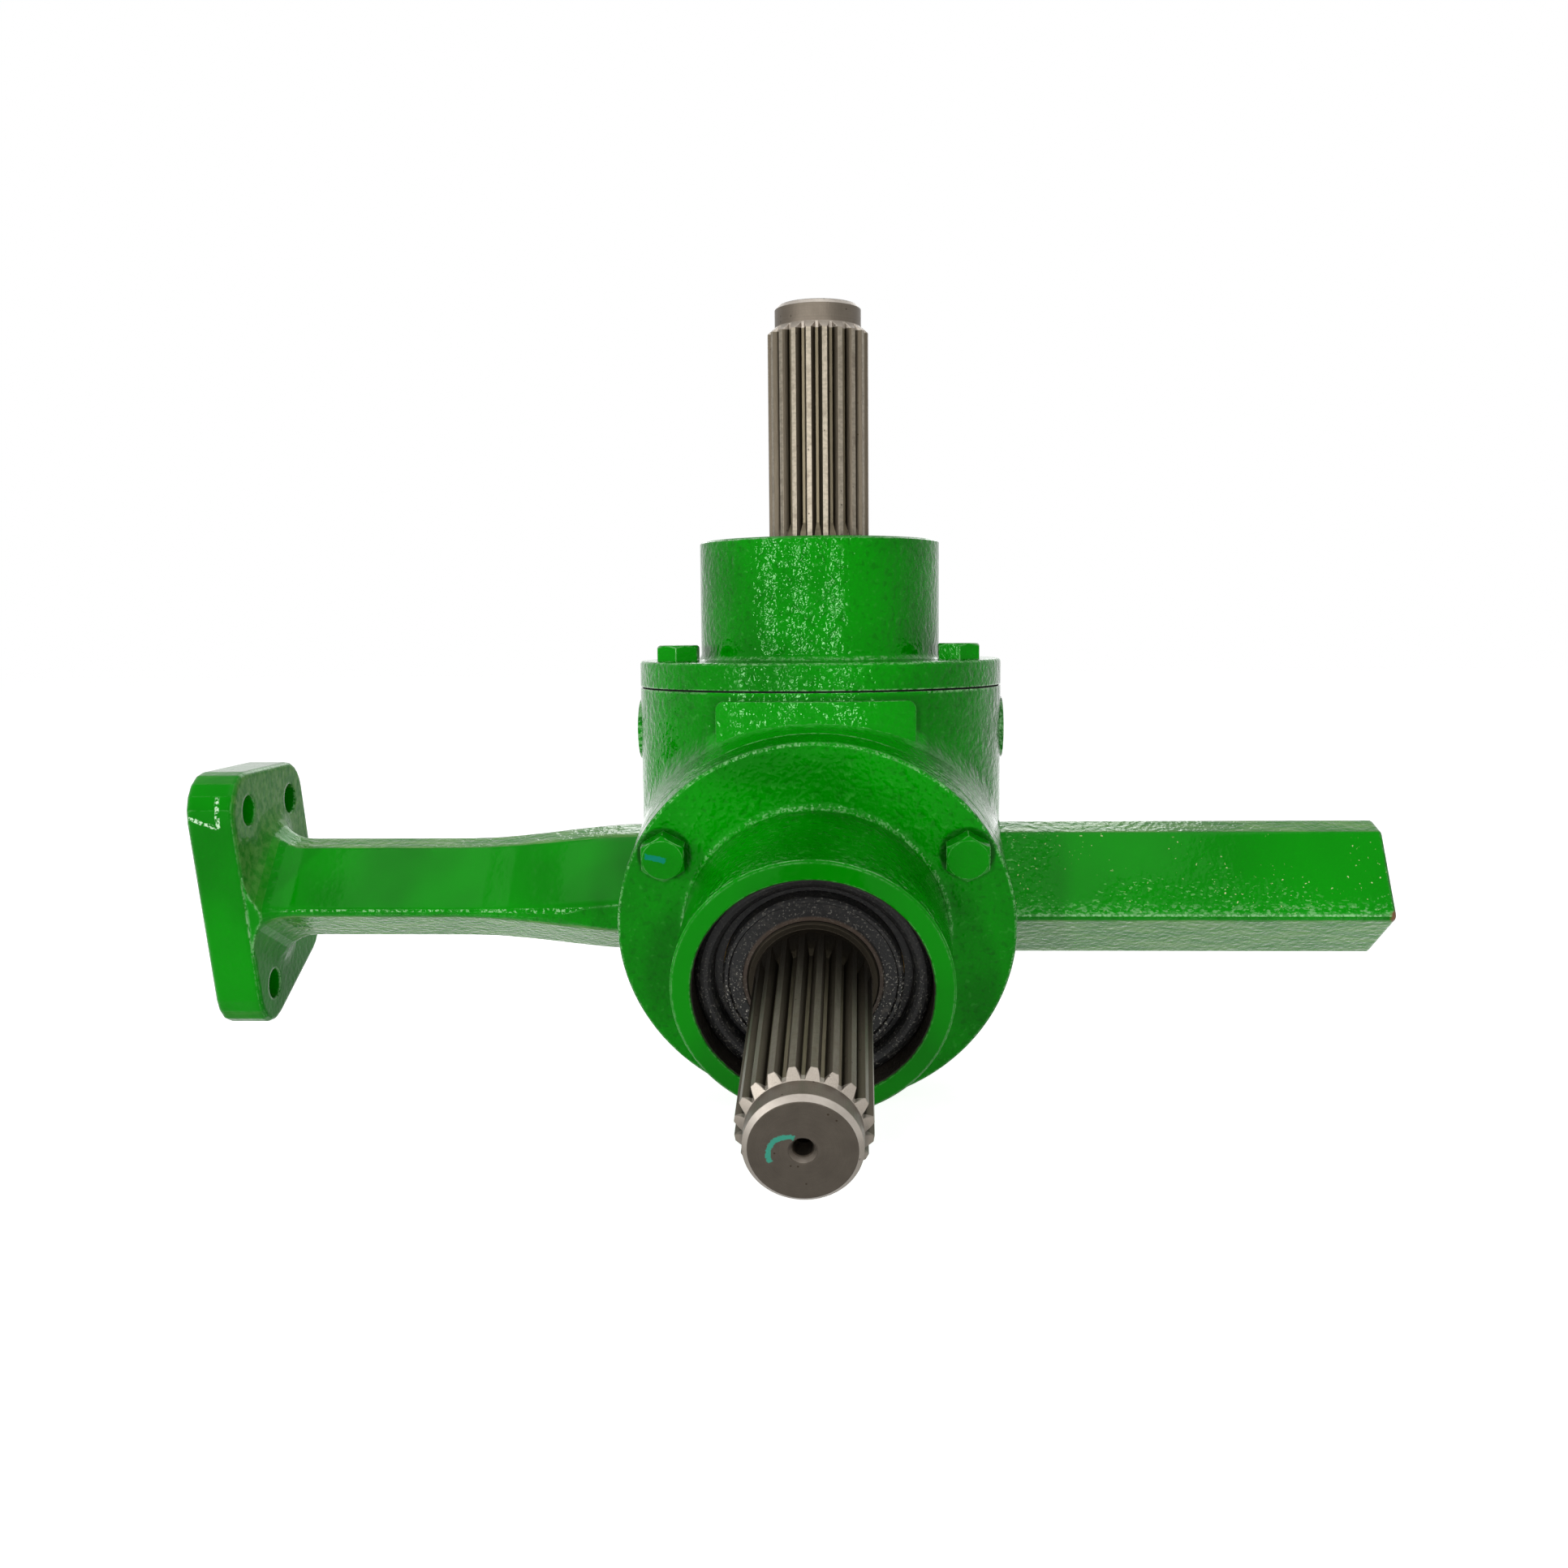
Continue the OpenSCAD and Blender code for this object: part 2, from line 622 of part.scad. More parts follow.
module gear_nut() {
    color("gray") difference() {
        ring(nut_d / 2, nut_thread_d / 2 + fit, nut_z0, gear_hub_z);
        for (i = [0 : 3]) rotate([0, 0, 90 * i + 45]) translate([nut_d / 2 - 2.5, -3, nut_z0 - eps])
            cube([5, 6, nut_t + 2 * eps]);
    }
}

module race_groove(z) {
    translate([0, 0, z + bearing_w / 2]) rotate_extrude() translate([ball_circle_r, 0])
        circle(r = ball_d / 2 + ball_play, $fn = 64);
}

module bearing_outer_ring(z) {
    color("silver") difference() {
        ring(bearing_od / 2, bearing_od / 2 - ring_t, z, z + bearing_w);
        race_groove(z);
    }
}

module bearing_inner_ring(z) {
    color("silver") difference() {
        ring(bearing_id / 2 + ring_t, bearing_id / 2 + fit, z, z + bearing_w);
        race_groove(z);
    }
}

module at_balls(z) {
    for (i = [0 : ball_count - 1])
        rotate([0, 0, 360 / ball_count * i]) translate([ball_circle_r, 0, z + bearing_w / 2]) children();
}

module bearing_balls(z) {
    color("silver") at_balls(z) sphere(d = ball_d, $fn = 48);
}

module bearing_cage(z) {
    color("goldenrod") difference() {
        ring(ball_circle_r + cage_t / 2, ball_circle_r - cage_t / 2,
            z + cage_inset, z + bearing_w - cage_inset);
        at_balls(z) rotate([0, 90, 0]) cylinder(d = ball_d + 2 * run_gap, h = 2 * cage_t, center = true);
    }
}

// Open spring ring between two radii
module clip(r_out, r_in, t) {
    color("gray") difference() {
        ring(r_out, r_in, clip_z, clip_z + t);
        translate([-clip_gap / 2, 0, clip_z - eps]) cube([clip_gap, r_out + eps, t + 2 * eps]);
    }
}

module shaft_clip() {
    clip(bearing_id / 2 + 4, bearing_id / 2 - clip_groove + fit, shaft_clip_t - fit);
}

module bore_clip() {
    clip(bearing_od / 2 + clip_groove, bearing_od / 2 - 5, bore_clip_t - fit);
}

// Fixed ring of the seal: rounded lip on the outer side, deep channel behind it
module seal_ring() {
    r1 = bearing_od / 2;
    lip = seal_lip / 2;
    steps = 8;
    color("black") rotate_extrude() polygon(concat(
        [[seal_sleeve_r + run_gap, seal_z0], [r1, seal_z0], [r1, seal_z1 - lip]],
        [for (k = [0 : steps]) let (a = half_turn * k / steps)
            [r1 - lip + lip * cos(a), seal_z1 - lip + lip * sin(a)]],
        [[r1 - seal_lip, seal_z0 + seal_floor], [seal_sleeve_r + run_gap, seal_z0 + seal_floor]]));
}

// Ring of the seal that turns with the shaft
module seal_sleeve() {
    r1 = seal_sleeve_r;
    r2 = bearing_id / 2 + fit;
    color("black") rotate_extrude() polygon([[r2, seal_z0], [r1 - 1.5, seal_z0], [r1, seal_z0 + 1],
        [r1, seal_z1 - 1.4], [r1 - 0.8, seal_z1 - 0.6], [r1 - 2, seal_z1 - 0.6], [r1 - 2.6, seal_z1 - 1.6],
        [r2 + 2, seal_z1 - 1.6], [r2 + 1.2, seal_z1 - 0.8], [r2, seal_z1 - 0.8]]);
}

module side_piece(which, piece) {
    side(which) {
        if (piece == "cover") cover();
        if (piece == "gasket") gasket();
        if (piece == "cover_bolts") cover_bolts();
        if (piece == "shaft") shaft();
        if (piece == "bevel_gear") bevel_gear(which == "front");
        if (piece == "gear_key") gear_key();
        if (piece == "gear_nut") gear_nut();
        if (piece == "inner_bearing_outer_ring") bearing_outer_ring(brg1_z);
        if (piece == "inner_bearing_inner_ring") bearing_inner_ring(brg1_z);
        if (piece == "inner_bearing_balls") bearing_balls(brg1_z);
        if (piece == "inner_bearing_cage") bearing_cage(brg1_z);
        if (piece == "outer_bearing_outer_ring") bearing_outer_ring(brg2_z);
        if (piece == "outer_bearing_inner_ring") bearing_inner_ring(brg2_z);
        if (piece == "outer_bearing_balls") bearing_balls(brg2_z);
        if (piece == "outer_bearing_cage") bearing_cage(brg2_z);
        if (piece == "shaft_clip") shaft_clip();
        if (piece == "bore_clip") bore_clip();
        if (piece == "seal_ring") seal_ring();
        if (piece == "seal_sleeve") seal_sleeve();
    }
}

SIDE_PIECES = ["cover", "gasket", "cover_bolts", "shaft", "bevel_gear", "gear_key", "gear_nut",
    "inner_bearing_outer_ring", "inner_bearing_inner_ring", "inner_bearing_balls", "inner_bearing_cage",
    "outer_bearing_outer_ring", "outer_bearing_inner_ring", "outer_bearing_balls", "outer_bearing_cage",
    "shaft_clip", "bore_clip", "seal_ring", "seal_sleeve"];

placed() housing();
placed() oil_plug(1);  // filler_plug
placed() oil_plug(-1);  // level_plug
for (which = ["front", "top"])
    for (piece = SIDE_PIECES)
        placed() side_piece(which, piece);
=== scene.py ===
import bpy
import math
from types import SimpleNamespace
from mathutils import Matrix, Vector


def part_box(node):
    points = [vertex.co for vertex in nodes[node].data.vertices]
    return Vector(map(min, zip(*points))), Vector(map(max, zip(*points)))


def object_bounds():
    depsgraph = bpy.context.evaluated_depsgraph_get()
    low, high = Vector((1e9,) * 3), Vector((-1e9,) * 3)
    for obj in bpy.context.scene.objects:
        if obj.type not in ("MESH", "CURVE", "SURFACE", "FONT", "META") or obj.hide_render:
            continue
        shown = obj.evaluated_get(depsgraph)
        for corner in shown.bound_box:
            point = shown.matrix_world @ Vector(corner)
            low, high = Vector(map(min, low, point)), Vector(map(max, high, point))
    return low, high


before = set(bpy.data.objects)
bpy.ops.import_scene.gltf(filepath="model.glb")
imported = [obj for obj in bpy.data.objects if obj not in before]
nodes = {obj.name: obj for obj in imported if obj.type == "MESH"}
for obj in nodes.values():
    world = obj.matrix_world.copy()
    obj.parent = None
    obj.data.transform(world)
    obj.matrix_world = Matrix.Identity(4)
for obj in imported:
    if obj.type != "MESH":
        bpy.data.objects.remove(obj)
cad_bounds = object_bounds()

# Everything is in metres, except the heights of relief, which are in millimetres.
# +Z is up along the top shaft, -Y is the front, and the arms lie along X.
X = Vector((1.0, 0.0, 0.0))
Y = Vector((0.0, 1.0, 0.0))
Z = Vector((0.0, 0.0, 1.0))
# Where the shaft axes cross
CROSS = Vector((0.285, 0.0, 0.0))
# Angle from the top shaft to the front one
SHAFT_ANGLE = math.radians(104)
FRONT = Vector((0.0, -math.sin(SHAFT_ANGLE), math.cos(SHAFT_ANGLE)))
FRONT_UP = Vector((0.0, math.cos(SHAFT_ANGLE), math.sin(SHAFT_ANGLE)))
# For each side of the box: the direction of its shaft, and the one that counts as up across it
SHAFT_AXES = {"front": (FRONT, FRONT_UP), "top": (Z, Y)}


# Shader helpers
class Shader:
    """A material and short calls that add nodes to it. Values may be numbers, tuples or output sockets."""

    def __init__(self, name):
        self.material = bpy.data.materials.new(name)
        self.material.use_nodes = True
        self.tree = self.material.node_tree
        self.tree.nodes.clear()
        self.out = self.node("OutputMaterial")
        self.place = self.node("TexCoord").outputs["Object"]
        self.normal = self.node("NewGeometry").outputs["Normal"]
        shifted = self.node("VectorMath", operation="SUBTRACT")
        self.put(shifted.inputs[0], self.place)
        self.put(shifted.inputs[1], CROSS)
        self.from_cross = shifted.outputs[0]

    def put(self, socket, value):
        if isinstance(value, bpy.types.NodeSocket):
            self.tree.links.new(value, socket)
        else:
            socket.default_value = value

    def node(self, kind, **settings):
        n = self.tree.nodes.new("ShaderNode" + kind)
        for key, value in settings.items():
            setattr(n, key, value)
        return n

    def math(self, operation, a, b=0.0):
        n = self.node("Math", operation=operation)
        self.put(n.inputs[0], a)
        self.put(n.inputs[1], b)
        return n.outputs[0]

    def add(self, total, *others):
        for other in others:
            total = self.math("ADD", total, other)
        return total

    def minus(self, a, b):
        return self.math("SUBTRACT", a, b)

    def times(self, product, *others):
        for other in others:
            product = self.math("MULTIPLY", product, other)
        return product

    def larger(self, a, b):
        return self.math("MAXIMUM", a, b)

    def rest(self, share):
        """What a share leaves of the whole."""
        return self.minus(1.0, share)

    def apart(self, value, centre, shift=0.0):
        """Distance of a value from a centre, with a small shift added before the sign is dropped."""
        return self.math("ABSOLUTE", self.add(self.minus(value, centre), shift))

    def length(self, u, v):
        return self.math("SQRT", self.add(self.times(u, u), self.times(v, v)))

    def wander(self, noise, amount):
        """Noise turned into a shift to both sides of zero."""
        return self.times(self.minus(noise, 0.5), amount)

    def step(self, value, low, high, start=0.0, end=1.0):
        """Smooth step from start at low to end at high."""
        n = self.node("MapRange", interpolation_type="SMOOTHSTEP")
        for socket, v in zip(n.inputs[:5], (value, low, high, start, end)):
            self.put(socket, v)
        return n.outputs[0]

    def blend(self, share, start, end):
        """From start to end as the share goes from 0 to 1."""
        return self.step(share, 0.0, 1.0, start, end)

    def dot(self, vector, direction):
        n = self.node("VectorMath", operation="DOT_PRODUCT")
        self.put(n.inputs[0], vector)
        self.put(n.inputs[1], direction)
        return n.outputs["Value"]

    def faces(self, direction, low, high):
        """1 where the surface faces in a direction, and 0 where it turns away."""
        return self.step(self.dot(self.normal, direction), low, high)

    def distance(self, point):
        n = self.node("VectorMath", operation="DISTANCE")
        self.put(n.inputs[0], self.place)
        self.put(n.inputs[1], point)
        return n.outputs["Value"]

    def combine(self, x, y, z):
        n = self.node("CombineXYZ")
        for socket, v in zip(n.inputs, (x, y, z)):
            self.put(socket, v)
        return n.outputs[0]

    def separate(self, socket):
        n = self.node("SeparateXYZ")
        self.put(n.inputs[0], socket)
        return n.outputs

    def noise(self, scale, detail=2.0, rough=0.5, vector=None, stretch=None):
        """Noise with about scale grains per metre, drawn out along an axis where stretch is below 1."""
        v = self.place if vector is None else vector
        if stretch:
            m = self.node("Mapping")
            self.put(m.inputs["Vector"], v)
            m.inputs["Scale"].default_value = stretch
            v = m.outputs[0]
        n = self.node("TexNoise")
        self.put(n.inputs["Vector"], v)
        n.inputs["Scale"].default_value = scale
        n.inputs["Detail"].default_value = detail
        n.inputs["Roughness"].default_value = rough
        return n.outputs["Fac"]

    def specks(self, scale, size, share):
        """Small separate dots: the share of cells that hold one, and its size in cells."""
        n = self.node("TexVoronoi", feature="F1")
        self.put(n.inputs["Vector"], self.place)
        n.inputs["Scale"].default_value = scale
        picked = self.math("LESS_THAN", self.separate(n.outputs["Color"])[0], share)
        return self.times(self.step(n.outputs["Distance"], size, size * 0.5), picked)

    def mix(self, share, a, b):
        """Colour a where the share is 0, and colour b where it is 1."""
        n = self.node("Mix", data_type="RGBA")
        self.put(n.inputs["Factor"], share)
        self.put(n.inputs[6], a)
        self.put(n.inputs[7], b)
        return n.outputs[2]

    def bump(self, height_mm, normal=None):
        n = self.node("Bump")
        n.inputs["Strength"].default_value = 1.0
        n.inputs["Distance"].default_value = 0.001
        self.put(n.inputs["Height"], height_mm)
        if normal is not None:
            self.put(n.inputs["Normal"], normal)
        return n.outputs[0]

    def rounded(self, radius):
        """The normal that the surface would have with its edges rounded."""
        n = self.node("Bevel", samples=6)
        self.put(n.inputs["Radius"], radius)
        return n.outputs[0]

    def edges(self, soft_normal):
        """1 on sharp edges and in sharp corners, where the rounded normal leaves the true one."""
        return self.step(self.dot(soft_normal, self.normal), 0.985, 0.90)

    def round_axis(self, side):
        """Along, radius, and the two offsets across the shaft axis of one side of the box."""
        axis, up = SHAFT_AXES[side]
        along = self.dot(self.from_cross, axis)
        u = self.dot(self.from_cross, X)
        v = self.dot(self.from_cross, up)
        return along, self.length(u, v), u, v

    def turned(self, u, v, degrees):
        """The two offsets as seen by axes that are turned by this angle."""
        c, d = math.cos(math.radians(degrees)), math.sin(math.radians(degrees))
        return self.add(self.times(u, c), self.times(v, d)), self.add(self.times(u, -d), self.times(v, c))

    def finish(self, color, roughness, normal=None, metallic=0.0, specular=0.5, **constants):
        n = self.node("BsdfPrincipled")
        self.put(n.inputs["Base Color"], color)
        self.put(n.inputs["Roughness"], roughness)
        self.put(n.inputs["Metallic"], metallic)
        self.put(n.inputs["Specular IOR Level"], specular)
        for key, value in constants.items():
            n.inputs[key.replace("_", " ")].default_value = value
        if normal is not None:
            self.put(n.inputs["Normal"], normal)
        self.tree.links.new(n.outputs[0], self.out.inputs["Surface"])
        return self.material


def rgb(r, g, b):
    return (r, g, b, 1.0)


def srgb(r, g, b, scale_by=1.0):
    """Colour from its display values, which may be scaled lighter or darker."""
    def lin(c):
        c = c * scale_by / 255
        return c / 12.92 if c <= 0.04045 else ((c + 0.055) / 1.055) ** 2.4
    return (lin(r), lin(g), lin(b), 1.0)


def dress(names, material):
    for name in names:
        mesh = nodes[name].data
        mesh.materials.clear()
        mesh.materials.append(material)


# Colours of the paint, of what shows through it, and of the painted shade and painted highlights put on it
GREEN = srgb(0, 138, 0)
GREEN_DEEP = srgb(0, 112, 0)
# Painted shade, for the pebble hollows and round the pad
GREEN_SHADE = srgb(0, 84, 0)
# Painted contact shadow round the bolt heads
GREEN_CONTACT_SHADE = srgb(0, 56, 0)
# Painted light on the pad
GREEN_PAD_LIT = srgb(4, 150, 4)
GREEN_BAR = srgb(2, 152, 2)
# Painted highlight on pebble tops
GREEN_PEBBLE_GLINT = srgb(70, 168, 66)
# Painted highlight on edges, noses and rims
GREEN_HIGHLIGHT = srgb(150, 208, 145)
# Painted highlight flecks on the bar
GREEN_GLINT = srgb(120, 200, 110)
# Streaks of painted sheen, darker and lighter
SHEEN_DARK = srgb(58, 132, 48)
SHEEN_LIGHT = srgb(106, 158, 82)
# Painted reflection on the front edge of the plate
GREEN_REFLECTION = srgb(190, 225, 186)
PRIMER = srgb(196, 212, 150)
STEEL_CHIP = srgb(120, 84, 60)
BARE_BORE = srgb(38, 34, 30)
TEAL = srgb(0, 122, 100)

# Gloss of the paint: weak and green when looked at squarely, and white at a grazing angle
SHINE = 0.16
SHINE_DULL = 0.03
SHINE_TINT = rgb(0.42, 0.8, 0.42)

# Radii of the edges: the casting's soft ones, its pad's crisp ones, and those of the other pieces
CAST_EDGE_R = 0.0022
PAD_EDGE_R = 0.0007
COVER_EDGE_R = 0.0012
BOLT_EDGE_R = 0.0009
PLUG_EDGE_R = 0.0008
STEEL_EDGE_R = 0.0004


def broken_line(s):
    """Share of an edge line that shows: specks, and longer stretches with none."""
    return s.times(s.step(s.noise(420, 3, 0.7), 0.40, 0.56), s.step(s.noise(45, 2), 0.30, 0.55, 0.25, 1.0))


def cast_color(s, pebbles, soft_normal, edge_glint):
    """Thick green paint on a cast skin, with painted shade in the hollows between its pebbles, painted
    highlights on their tops, and broken painted highlights along the edges.
    """
    color = s.mix(s.step(s.noise(18, 2), 0.35, 0.7), GREEN, GREEN_DEEP)
    # Painted shade in the pebble hollows, and painted highlights on their tops and along the edges
    color = s.mix(s.step(pebbles, 0.45, 0.30, 0.0, 0.35), color, GREEN_SHADE)
    color = s.mix(s.step(pebbles, 0.62, 0.74, 0.0, 0.2), color, GREEN_PEBBLE_GLINT)
    return s.mix(s.times(s.edges(soft_normal), broken_line(s), edge_glint), color, GREEN_HIGHLIGHT)


def wet_paint_roughness(s):
    return s.add(0.05, s.times(s.noise(300, 2), 0.05))


def painted(s, color, roughness, normal, shine=SHINE):
    return s.finish(color, roughness, normal, specular=shine, Specular_Tint=SHINE_TINT)


# Places on the housing, from the middle plane or the shaft axes
ARM_ROOT = (0.079, 0.088)
BAR_PAST_ROOT = (0.092, 0.115)
PLATE_ROOT = (-0.243, -0.262)
PAD_HALF_WIDTH = (0.046, 0.043)
PAD_BOTTOM = (0.040, 0.046)
BARREL_SKIN = (0.0816, 0.0808)
# Up across the front face of the bar: where its calm upper part begins, and the band of painted highlight
# specks above its nose
BAR_UPPER = (-0.020, -0.004)
BAR_LOW_BAND = (-0.0205, -0.0265)
# The arms' front face: its normal, and the direction up across it
ARM_FACE = Vector((0.0, -0.81, 0.585))
ARM_FACE_UP = Vector((0.0, 0.552, 0.834))
# The arms' nose, below their front face
ARM_NOSE = Vector((0.0, -0.99, 0.14))


def housing_masks(s):
    """Shares that tell the regions of the casting apart. Each is 1 inside its region."""
    m = SimpleNamespace()
    m.x, m.z = s.dot(s.from_cross, X), s.dot(s.from_cross, Z)
    m.off_centre = s.math("ABSOLUTE", m.x)
    m.on_arm = s.step(m.off_centre, *ARM_ROOT)
    m.right = s.step(m.x, 0.0, 0.01)
    m.on_plate = s.step(m.x, *PLATE_ROOT)
    m.plate_inner = s.times(m.on_plate, s.faces(X, 0.55, 0.9))
    m.on_pad = s.times(s.step(m.z, *PAD_BOTTOM), s.step(m.off_centre, *PAD_HALF_WIDTH))
    m.front_face = s.times(s.faces(ARM_FACE, 0.86, 0.95), m.on_arm)
    m.bar_front = s.times(m.front_face, m.right)
    m.across = s.dot(s.place, ARM_FACE_UP)
    m.arm_under = s.times(m.on_arm, s.faces(Z, -0.60, -0.72))
    m.arm_upper = s.times(m.on_arm, s.faces(Z, 0.80, 0.88))
    # The front face of the arm is nearly smooth, but on the bar only its upper middle is
    patchy = s.wander(s.noise(28, 2), 0.05)
    upper = s.step(s.add(m.across, patchy), *BAR_UPPER)
    past_root = s.step(s.add(m.off_centre, patchy), *BAR_PAST_ROOT)
    calm = s.times(m.front_face, s.blend(m.right, 0.93, s.times(upper, past_root, 0.85)))
    m.keep = s.times(s.rest(calm), s.blend(m.on_plate, 1.0, 0.35))
    return m


def painted_sheen_streaks(s, m, color):
    """Streaky painted sheen, a pale reflection, on the upper and lower faces of the arms and on the inner face
    of the plate, lighter towards its top.
    """
    streaks = s.noise(260, 3, 0.6, stretch=(0.2, 1.0, 1.0))
    flat = s.times(s.larger(m.arm_upper, m.arm_under), s.blend(m.on_plate, 1.0, 0.2))
    inner = s.times(m.plate_inner, s.step(m.z, -0.070, 0.02, 0.0, 0.85))
    sheen = s.larger(s.times(flat, 0.85), inner)
    return s.mix(sheen, color, s.mix(s.step(streaks, 0.36, 0.64), SHEEN_DARK, SHEEN_LIGHT))


def nose_highlight(s, m, color):
    """A speckled painted highlight along the nose of the arms."""
    nose = s.times(s.faces(ARM_NOSE, 0.94, 0.985), m.on_arm, s.rest(m.on_plate))
    highlight_specks = s.step(s.noise(620, 2, 0.6), s.blend(m.right, 0.52, 0.44), s.blend(m.right, 0.62, 0.58))
    return s.mix(s.times(nose, s.add(s.times(m.right, 0.2), s.times(highlight_specks, 0.65))), color, GREEN_HIGHLIGHT)


def plate_reflections(s, m, color):
    """A sloping and an upright line of painted reflection on the front edge of the plate."""
    slope, line_z, line_end = 0.35, 0.0185, (-0.2690, -0.2700)
    upright_x, upright_bottom, upright_top = -0.2704, (0.0130, 0.0145), (0.0280, 0.0262)
    wobble = s.wander(s.noise(300, 3), 0.0018)
    sloping_z = s.add(m.z, s.times(s.add(m.x, CROSS.x), slope))
    sloping = s.times(s.step(s.apart(sloping_z, line_z, wobble), 0.0011, 0.0006), s.step(m.x, *line_end))
    upright = s.times(s.step(s.apart(m.x, upright_x, wobble), 0.0012, 0.0007),
                      s.step(m.z, *upright_bottom), s.step(m.z, *upright_top))
    reflection_line = s.times(s.larger(sloping, upright), s.step(s.noise(700, 2, 0.6), 0.42, 0.54))
    return s.mix(s.times(reflection_line, s.faces(-Y, 0.6, 0.8)), color, GREEN_REFLECTION)


def pad_light_and_shade(s, m, color):
    """Painted light makes the pad above the front cover a little brighter, and painted shade darkens the
    barrel round it.
    """
    shade_side, shade_top, shade_bottom = (0.047, 0.042), (0.0752, 0.0727), (0.036, 0.046)
    color = s.mix(s.times(m.on_pad, 0.6), color, GREEN_PAD_LIT)
    round_pad = s.times(s.step(m.off_centre, *shade_side), s.step(m.z, *shade_top), s.step(m.z, *shade_bottom))
    barrel = s.step(s.round_axis("top")[1], *BARREL_SKIN)
    return s.mix(s.times(round_pad, barrel, 0.6), color, GREEN_SHADE)


def bar_specks(s, m, color):
    """The bright front of the bar, with speckled painted highlights above its nose, old primer, and painted
    highlight flecks.
    """
    long_grains = (0.6, 1.0, 1.0)
    color = s.mix(s.times(m.bar_front, 0.6), color, GREEN_BAR)
    low_band = s.times(m.bar_front, s.step(m.across, *BAR_LOW_BAND))
    highlight_crumbs = s.step(s.noise(640, 2, 0.6, stretch=long_grains), 0.50, 0.64)
    color = s.mix(s.times(low_band, highlight_crumbs, 0.45), color, GREEN_HIGHLIGHT)
    drops = s.step(s.noise(620, 1.5, 0.5), 0.70, 0.73)
    groups = s.step(s.noise(30, 2), 0.46, 0.54)
    color = s.mix(s.times(drops, m.bar_front, groups), color, PRIMER)
    rough_part = s.times(m.bar_front, s.step(m.keep, 0.4, 0.9))
    flecks = s.step(s.noise(820, 1.5, 0.5, stretch=long_grains), 0.625, 0.69)
    return s.mix(s.times(flecks, rough_part, 0.6), color, GREEN_GLINT)


def end_chip(s, color):
    """A bare chip on the nose of the bar's end."""
    nose_y, nose_z = -0.0075, -0.0295
    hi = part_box("housing")[1]
    reach = s.add(s.distance((hi.x, nose_y, nose_z)), s.times(s.noise(600, 2), 0.004))
    return s.mix(s.step(reach, 0.0060, 0.0045), color, STEEL_CHIP)


def housing_paint():
    s = Shader("green_paint_housing")
    m = housing_masks(s)
    cast = s.noise(330, 1.6, 0.5)
    waves = s.times(s.noise(50, 1, 0.4), 0.9, s.blend(m.on_arm, 1.0, 0.12))
    pebbles = s.times(cast, 0.6, m.keep)
    peel = s.times(s.noise(800, 1, 0.5), 0.05, m.keep)
    soft = s.rounded(s.blend(m.on_pad, CAST_EDGE_R, PAD_EDGE_R))
    color = cast_color(s, s.blend(m.keep, 0.5, cast), soft, 0.9)
    for layer in (painted_sheen_streaks, nose_highlight, plate_reflections, pad_light_and_shade, bar_specks):
        color = layer(s, m, color)
    color = end_chip(s, color)
    # The lower face of the left arm and the inner face of the plate shine less
    dull = s.larger(s.times(m.arm_under, s.rest(m.right)), m.plate_inner)
    shine = s.blend(dull, SHINE, SHINE_DULL)
    return painted(s, color, wet_paint_roughness(s), s.bump(s.add(waves, pebbles, peel), soft), shine)


# Angles of the cover bolts round their shaft axis, in degrees, and the radius of their circle
BOLT_ANGLES = {"front": (30, 150, 270), "top": (90, 210, 330)}
BOLT_CIRCLE = 0.069
# Places on a cover: along the shaft axis, and as radii from it
HUB_END = (0.1379, 0.1384)
FLANGE = (0.0885, 0.0865)
FLANGE_RIM_R = (0.0791, 0.0795)
FLANGE_RIM = (0.0859, 0.0862)
HUB_FOOT_R = (0.0562, 0.0552)
HUB_FOOT_START = (0.0872, 0.0876)
HUB_FOOT_END = (0.0893, 0.0886)
BOLT_SHADE_R = (0.0118, 0.0102)
BOLT_SHADE_START = (0.0862, 0.0866)
BORE_R = (0.0458, 0.0452)


def rim_and_foot_highlights(s, along, radius, color):
    """Speckled painted highlights along the rounded rim of the flange and in the fillet at the foot of the
    hub.
    """
    rim = s.times(s.step(radius, *FLANGE_RIM_R), s.step(along, *FLANGE_RIM))
    foot = s.times(s.step(radius, *HUB_FOOT_R), s.step(along, *HUB_FOOT_START), s.step(along, *HUB_FOOT_END))
    fine = s.step(s.noise(900, 2, 0.6), 0.42, 0.58)
    lines = s.times(s.add(s.times(rim, 0.5), s.times(foot, 0.42)), fine, broken_line(s))
    return s.mix(lines, color, GREEN_HIGHLIGHT)


def bolt_contact_shade(s, side, along, u, v, color):
    """Painted contact shadow round the feet of the bolt heads."""
    nearest = 1.0
    for angle in BOLT_ANGLES[side]:
        bolt_u = BOLT_CIRCLE * math.cos(math.radians(angle))
        bolt_v = BOLT_CIRCLE * math.sin(math.radians(angle))
        nearest = s.math("MINIMUM", s.length(s.minus(u, bolt_u), s.minus(v, bolt_v)), nearest)
    contact_shade = s.times(s.step(nearest, *BOLT_SHADE_R), s.step(along, *BOLT_SHADE_START))
    return s.mix(s.times(contact_shade, 0.75), color, GREEN_CONTACT_SHADE)


